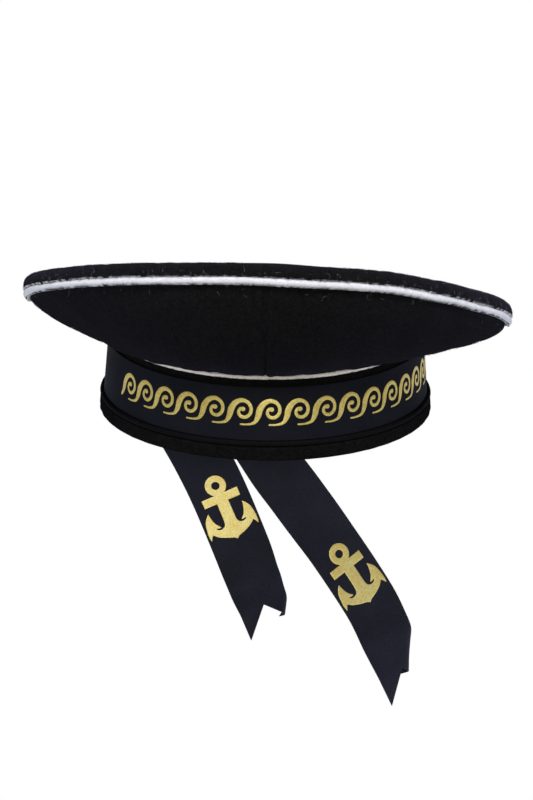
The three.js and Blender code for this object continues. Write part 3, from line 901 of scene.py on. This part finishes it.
# Running wave border on the band's ribbon: one stroke per wave, from the base line up and over into a curl
waveBorder = {
    "pitch": 16.0, "count": 17, "startTurn": -62, "height": 27.0, "above": (-8.4, 8.6), "margin": 1,
    "lead": 20, "reach": 240, "pathSteps": 2600, "strokeSteps": 90, "far": 9.0,
    "stroke": [
        (-15.6, -7.0, 0.45), (-11.5, -6.9, 0.55), (-7.9, -5.7, 0.9), (-6.0, -2.3, 1.5), (-5.0, 1.7, 1.75),
        (-2.7, 5.1, 1.5), (0.8, 6.6, 1.15), (4.2, 5.5, 1.0), (6.0, 2.6, 0.95), (5.6, -0.7, 0.95),
        (3.3, -2.8, 0.95), (0.5, -2.5, 0.9), (-0.9, -0.4, 0.85), (-0.1, 1.6, 0.9), (1.6, 1.7, 1.25),
    ],
}


def makeWaveBorder():
    # the stroke's distance field repeated along the ribbon by arc length from its first wave
    look = waveBorder
    near = ribbon["near"] + ribbon["wall"]
    fromTurn, toTurn = look["startTurn"] - look["lead"], look["startTurn"] + look["reach"]
    turn = np.radians(np.linspace(fromTurn, toTurn, look["pathSteps"]))
    length = runningLength(besideBand(turn, look["height"], near))
    length = length - np.interp(np.radians(look["startTurn"]), turn, length)
    along = np.arange(-look["margin"], look["pitch"] * look["count"] + look["margin"], foil["cell"])
    above = np.arange(*look["above"], foil["cell"])
    u, v = np.meshgrid(along, above, indexing="ij")
    stroke = splineRows(look["stroke"], np.linspace(0, len(look["stroke"]) - 1, look["strokeSteps"]))
    local = np.mod(u, look["pitch"]) - look["pitch"] / 2
    field = np.full(u.shape, look["far"])
    for shift in (-1, 0, 1):
        number = np.floor(u / look["pitch"]) + shift
        points = np.stack([local - shift * look["pitch"], v], -1).reshape(-1, 2)
        value = segmentDistance(points, stroke[:-1, :2], stroke[1:, :2], stroke[:-1, 2], stroke[1:, 2])
        real = (number >= 0) & (number < look["count"])
        field = np.minimum(field, np.where(real, value.reshape(u.shape), look["far"]))

    def lay(first, second, lift):
        # onto the ribbon's face: a length along it gives the turn
        return besideBand(np.interp(first, length, turn), look["height"] + second, near + lift)

    return makeFoil("waveBorder", field, along, above, lay)


dress(makeWaveBorder(), bandFoil, "ribbon_satin")
print("gold foil made")

# Loose fibres
fibres = {"width": 0.11, "steps": 4, "tip": 0.35, "clumpLengths": (0.45, 1.25), "wearEnds": (0.9, 0.99)}
# fuzz is rooted at two angles of a piping's round, runs down or up it, and is worn short at the cap's sides
rimFuzz = {
    "starts": ((72, -1), (-78, 1)), "clumps": 800, "each": 10, "clumpSpread": 0.4, "length": (0.6, 2.4),
    "lean": 0.7, "bend": 2.4, "radius": 2.38, "stand": 0.25, "wear": 0.75,
}
bandFuzz = {
    "starts": ((75, -1), (-60, 1)), "clumps": 500, "each": 8, "clumpSpread": 0.6, "length": (0.5, 1.5),
    "lean": 0.7, "bend": 1.5, "radius": 1.5, "stand": 0.2, "wear": 0,
}
rimTufts = {
    "clumps": 700, "each": 7, "clumpSpread": 0.35, "lean": 0.5, "rootOut": 1.6, "rootUp": 1.8,
    "reach": 0.8, "reachSpread": 0.2, "up": 0.55, "rise": (0.0, 0.6),
}
woolNap = {"count": 16000, "places": (0.05, 1.95), "length": (0.8, 2.2), "rise": 0.28, "curl": 0.8}
# lint gathers beside the rim piping, mostly above it: how many, and between which places
lint = {
    "shares": ((260, (1.02, 1.3)), (60, (0.9, 0.99)), (70, (0.05, 1.95))), "width": 0.13,
    "length": (1.2, 3.8), "rise": 0.35, "curl": 2.0,
}
along = np.linspace(0, 1, fibres["steps"])[None, :]


def makeFibres(name, lines, width, material, slot):
    # each line of points becomes a thin flat strip, tapered to its tip and turned at random about itself
    count, steps = lines.shape[:2]
    sideways = unit(np.cross(unit(np.gradient(lines, axis=1)), rng.normal(size=(count, 1, 3))))
    taper = np.linspace(1, fibres["tip"], steps)[None, :, None] * width / 2
    strip = np.stack([lines - sideways * taper, lines + sideways * taper], axis=2)
    one = gridQuads(steps, 2)
    quads = (one[None] + (np.arange(count) * steps * 2)[:, None, None]).reshape(-1, 4)
    return dress(makePiece(name, strip, quads, turnOver=False), material, slot)


def clumped(clumps, each, reach):
    # turns gathered in clumps round the cap, and one length factor for each clump
    centre = np.repeat(rng.uniform(0, 2 * np.pi, clumps), each)
    factor = np.repeat(rng.uniform(*fibres["clumpLengths"], clumps), each)
    return centre + rng.normal(size=clumps * each) * reach, factor


def overPiping(look, ringRadius, lay):
    # fibres from a piping's upper and lower edge that hug its round: an angle that grows along each fibre
    parts = []
    for startAngle, direction in look["starts"]:
        turn, factor = clumped(look["clumps"], look["each"], look["clumpSpread"] / ringRadius)
        reach = rng.uniform(*look["length"], turn.size) * factor
        reach = reach * (1 - look["wear"] * smoothstep(np.abs(np.sin(turn)), *fibres["wearEnds"]))
        reach = reach[:, None] * along
        lean = rng.normal(size=turn.size)[:, None] * look["lean"]
        angle = np.radians(startAngle) + direction * reach / look["bend"]
        radius = look["radius"] + look["stand"] * rng.random(turn.size)[:, None] * along**2
        place = turn[:, None] + lean * reach / ringRadius
        parts.append(lay(place, radius * np.cos(angle), radius * np.sin(angle)))
    return np.concatenate(parts)


def besideRim(turn, out, up):
    # a place measured from the rim piping's middle
    return atRim(turn, crownForm["rimRadius"] + out, up)


def besideBandPiping(turn, out, up):
    # a place measured from the band piping's middle
    return besideBand(turn, bandPiping["height"] + up, out)


def combedTufts(look):
    # white tufts from the rim piping, combed up over the edge of the top
    turn, factor = clumped(look["clumps"], look["each"], look["clumpSpread"] / crownForm["rimRadius"])
    rise = rng.uniform(*look["rise"], turn.size)[:, None] * factor[:, None]
    lean = rng.normal(size=turn.size)[:, None] * look["lean"]
    out = look["reach"] + look["reachSpread"] * rng.random(turn.size)[:, None]
    place = turn[:, None] + lean * along / crownForm["rimRadius"]
    return besideRim(place, look["rootOut"] + out * along, look["rootUp"] + (look["up"] + rise) * along)


rimLines = overPiping(rimFuzz, crownForm["rimRadius"], besideRim)
makeFibres("rimFuzz", rimLines, fibres["width"], blackFibre, "black_wool")
makeFibres("rimTufts", combedTufts(rimTufts), fibres["width"], whiteWool, "white_cord")
bandLines = overPiping(bandFuzz, bandForm["halfDepth"], besideBandPiping)
makeFibres("bandFuzz", bandLines, fibres["width"], blackFibre, "black_wool")

# the section's rows round the turned-down edge, small steps to find directions, and the least lift
clothSteps = {
    "edgeStart": 0.6, "edgeSpan": 5.6, "turn": 0.004, "place": 0.01, "turnBack": 0.9, "leastLift": 0.06,
}


def onCloth(turn, place):
    # a place on the crown's cloth: up the side panel below one, round the turned-down edge above it
    panel = onPanel(turn, np.clip(place, 0, 1))
    rows = np.clip(place - 1, 0, 1) * clothSteps["edgeSpan"] + clothSteps["edgeStart"]
    row = splineRows(crownTop["section"], rows)
    edge = besideRim(turn, row[..., 0], row[..., 1])
    return np.where((place > 1)[..., None], edge, panel)


def scatter(place, look):
    # fibres rooted all round the cloth, running along it at random and standing off it a little
    count = place.size
    turn = rng.uniform(-np.pi, np.pi, count)
    root = onCloth(turn, place)
    sideStep = unit(onCloth(turn + clothSteps["turn"], place) - root)
    # near the panel's head the step is taken downwards
    way = np.where(place > clothSteps["turnBack"], -1, 1)
    upStep = unit((onCloth(turn, place + way * clothSteps["place"]) - root) * way[:, None])
    normal = np.cross(sideStep, upStep)
    angle = rng.uniform(0, 2 * np.pi, count)[:, None] + rng.normal(size=count)[:, None] * look["curl"] * along
    heading = np.cos(angle)[..., None] * sideStep[:, None] + np.sin(angle)[..., None] * upStep[:, None]
    length = rng.uniform(*look["length"], count)[:, None, None]
    lift = look["rise"] * rng.random(count)[:, None, None] * along[..., None] + clothSteps["leastLift"]
    return root[:, None] + heading * along[..., None] * length + normal[:, None] * lift * length**0.5


nap = scatter(rng.uniform(*woolNap["places"], woolNap["count"]), woolNap)
makeFibres("woolNap", nap, fibres["width"], blackFibre, "black_wool")
lintPlaces = np.concatenate([rng.uniform(*ends, count) for count, ends in lint["shares"]])
makeFibres("lint", scatter(lintPlaces, lint), lint["width"], paleFibre, "black_wool")
print("fibres made")

# Floor, light and camera
stageLook = {"floorHeight": -0.95, "floorSize": 30.0, "ambient": 0.14, "aim": (0, 0, 0.02)}
lights = [
    # name, place, size, power, colour
    ("keyLight", (0.1, -1.4, 2.8), 1.5, 112, "#f0ecff"),
    ("frontLight", (0.2, -3.4, 0.5), 2.2, 19, "#ffffff"),
    ("spotLight", (0.1, -3.6, 1.21), 0.3, 21, "#ffffff"),
    ("leftLight", (-1.9, 0.0, -0.85), 1.4, 30, "#dfe3ff"),
    ("rightLight", (1.9, 0.4, -0.85), 1.4, 34, "#dfe3ff"),
    ("rearLight", (0.3, 2.6, 2.0), 1.6, 40, "#ffffff"),
]

span = stageLook["floorSize"] / 2
corner = np.array([(-span, -span), (span, -span), (span, span), (-span, span)]) * 1000
floor = makePiece(
    "floor", np.column_stack([corner, np.full(4, stageLook["floorHeight"] * 1000)]), np.array([[0, 1, 2, 3]]),
    turnOver=False,
)
floorPaper, tree = newMaterial("brightFloorPaper")
# evenly lit white paper: seen by the camera, and throwing no light back up under the cap
paper = addNode(tree, "ShaderNodeEmission", {"Color": toLinear("#ffffff"), "Strength": 1.0})
tree.links.new(paper.outputs[0], tree.nodes.new("ShaderNodeOutputMaterial").inputs["Surface"])
floor.data.materials.append(floorPaper)
floor.visible_diffuse = False
floor.visible_shadow = False

world = bpy.data.worlds.new("studio")
world.use_nodes = True
bpy.context.scene.world = world
tree = world.node_tree
tree.nodes.clear()
seen = addNode(tree, "ShaderNodeLightPath").outputs["Is Camera Ray"]
strength = addNode(tree, "ShaderNodeMapRange", {"Value": seen, "To Min": stageLook["ambient"], "To Max": 1.0})
sky = addNode(tree, "ShaderNodeBackground", {"Color": toLinear("#ffffff"), "Strength": strength.outputs[0]})
tree.links.new(sky.outputs[0], tree.nodes.new("ShaderNodeOutputWorld").inputs["Surface"])

for name, place, size, power, colour in lights:
    light = bpy.data.lights.new(name, "AREA")
    light.shape = "DISK"
    light.size = size
    light.energy = power
    light.color = toLinear(colour)[:3]
    lamp = bpy.data.objects.new(name, light)
    lamp.location = place
    # the low side lights leave no highlight on the foil
    lamp.visible_glossy = place[2] > 0
    lamp.rotation_euler = (Vector(stageLook["aim"]) - Vector(place)).to_track_quat("-Z", "Y").to_euler()
    bpy.context.scene.collection.objects.link(lamp)

view = {
    "elevation": 17.0, "distance": 4.0, "pixelsPerMm": 1.76, "roll": 0.65, "originPixel": (265.3, 405.3),
    "image": (533, 800), "sensor": 36.0, "clipEnd": 100,
}
camera = bpy.data.cameras.new("camera")
camera.sensor_fit = "VERTICAL"
camera.sensor_height = view["sensor"]
camera.lens = view["sensor"] * view["pixelsPerMm"] * view["distance"] * 1000 / view["image"][1]
camera.clip_end = view["clipEnd"]
elevation, roll = np.radians([view["elevation"], view["roll"]])
sideAxis = Vector((1, 0, 0))
upAxis = Vector((0, np.sin(elevation), np.cos(elevation)))
backAxis = Vector((0, -np.cos(elevation), np.sin(elevation)))
right = sideAxis * np.cos(roll) + upAxis * np.sin(roll)
upward = upAxis * np.cos(roll) - sideAxis * np.sin(roll)
toMetres = 1 / view["pixelsPerMm"] / 1000
place = backAxis * view["distance"]
place += right * (view["image"][0] / 2 - view["originPixel"][0]) * toMetres
place += upward * (view["originPixel"][1] - view["image"][1] / 2) * toMetres
cameraObject = bpy.data.objects.new("camera", camera)
cameraObject.matrix_world = Matrix((
    (right.x, upward.x, backAxis.x, place.x),
    (right.y, upward.y, backAxis.y, place.y),
    (right.z, upward.z, backAxis.z, place.z),
    (0, 0, 0, 1),
))
bpy.context.scene.collection.objects.link(cameraObject)
bpy.context.scene.camera = cameraObject
bpy.context.scene.view_settings.view_transform = "Standard"
print("stage made")
